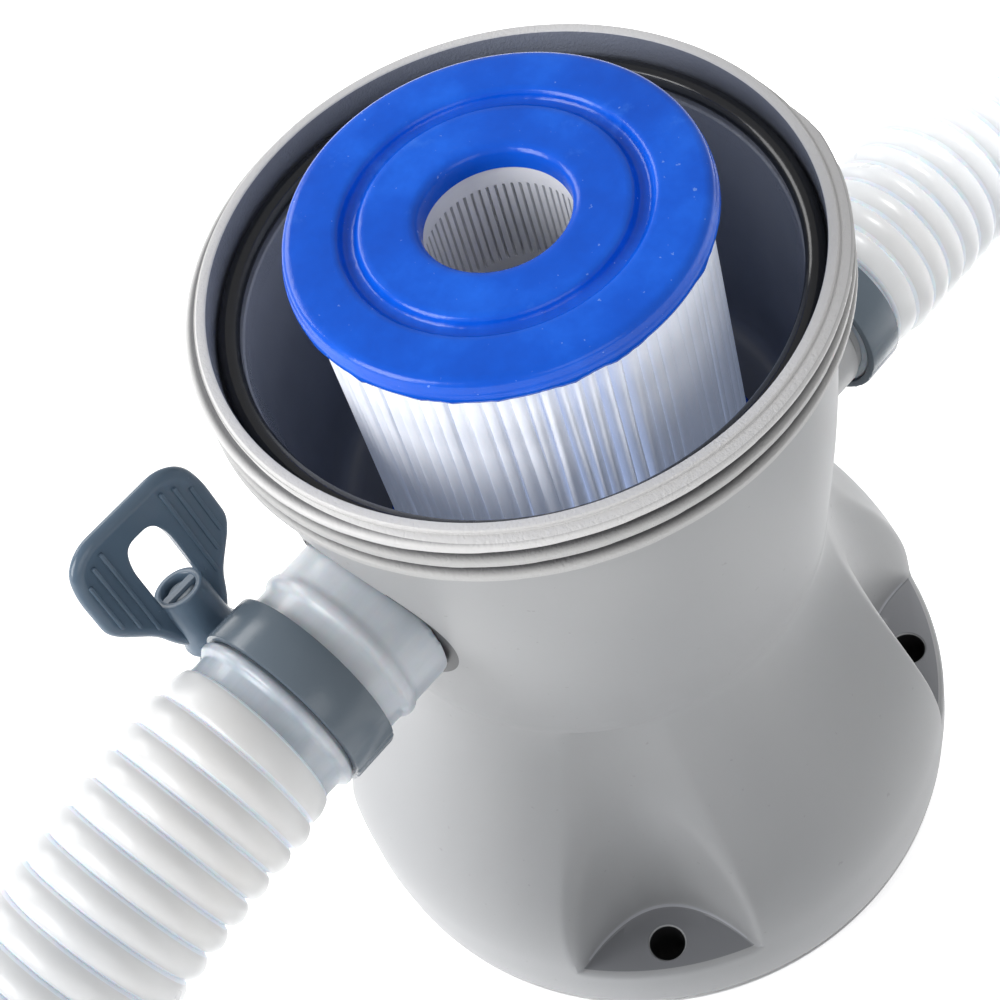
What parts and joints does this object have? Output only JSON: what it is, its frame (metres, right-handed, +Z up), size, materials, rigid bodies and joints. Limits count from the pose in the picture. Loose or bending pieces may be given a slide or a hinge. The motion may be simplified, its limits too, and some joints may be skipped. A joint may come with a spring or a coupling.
{
  "type": "cartridge filter pump",
  "caption": "Round cartridge filter pump with an open threaded top, a loose pleated cartridge inside and two corrugated hoses held on opposite ports by wing nut clamps.",
  "frame": {"origin": "centre of the base, on the ground under the rubber feet", "axes": "+Z up along the housing, the inlet port points to -X and the outlet port to +X"},
  "size_m": [0.927, 0.4764, 0.207],
  "materials": {
    "housing_plastic": "satin, fine texture on the thread",
    "seal_rubber": "glossy",
    "base_plastic": "satin",
    "screw_steel": "zinc plated",
    "foot_rubber": "matte",
    "gland_plastic": "satin",
    "cap_blue": "cast, mottled",
    "filter_paper": "pleated paper cloth",
    "core_plastic": "satin",
    "impeller_plastic": "smooth",
    "magnet": "ground",
    "bush_plastic": "smooth",
    "ceramic": "polished",
    "shaft_steel": "ground",
    "can_plastic": "satin",
    "stator_steel": "laminated",
    "winding": "varnished",
    "cuff_plastic": "milky, bluish",
    "hose_plastic": "milky translucent",
    "band_plastic": "satin slate grey",
    "wing_nut_plastic": "satin dark blue grey"
  },
  "bodies": {
    "housing": {"housing": "housing_plastic", "housing_base": "housing_plastic", "volute": "housing_plastic", "lid_seal_ring": "seal_rubber", "base_plate": "base_plastic", "base_screws": "screw_steel", "feet": "foot_rubber", "cable_gland": "gland_plastic", "gland_nut": "gland_plastic", "thrust_washer": "ceramic", "rotor_shaft": "shaft_steel", "rotor_can": "can_plastic", "can_seal_ring": "seal_rubber", "can_screws": "screw_steel", "stator_core": "stator_steel", "stator_coils": "winding", "inlet_cuff": "cuff_plastic", "inlet_hose": "hose_plastic", "inlet_end_cuff": "cuff_plastic", "inlet_band": "band_plastic", "inlet_screw": "band_plastic", "outlet_cuff": "cuff_plastic", "outlet_hose": "hose_plastic", "outlet_end_cuff": "cuff_plastic", "outlet_band": "band_plastic", "outlet_screw": "band_plastic", "inlet_washer": "screw_steel", "outlet_washer": "screw_steel"},
    "cartridge": {"cartridge_top_cap": "cap_blue", "cartridge_bottom_cap": "cap_blue", "cartridge_pleats": "filter_paper", "cartridge_core": "core_plastic"},
    "rotor": {"impeller": "impeller_plastic", "rotor_magnet": "magnet", "rotor_bushes": "bush_plastic"},
    "inlet_nut": {"inlet_wing_nut": "wing_nut_plastic"},
    "outlet_nut": {"outlet_wing_nut": "wing_nut_plastic"}
  },
  "joints": [
    {"name": "cartridge_lift", "type": "slide", "parent": "housing", "child": "cartridge", "axis": [0, 0, 1], "range_m": [0, 0.11]},
    {"name": "rotor_spin", "type": "hinge", "parent": "housing", "child": "rotor", "pos_m": [0, 0, 0.08], "axis": [0, 0, 1], "continuous": true},
    {"name": "inlet_nut_turn", "type": "hinge", "parent": "housing", "child": "inlet_nut", "pos_m": [-0.0778, 0.02568, 0.12866], "axis": [0, 0.309, 0.9511], "range_deg": [0, 720]},
    {"name": "outlet_nut_turn", "type": "hinge", "parent": "housing", "child": "outlet_nut", "pos_m": [0.083, 0.02568, 0.07416], "axis": [0, 0.309, 0.9511], "range_deg": [0, 720]}
  ]
}
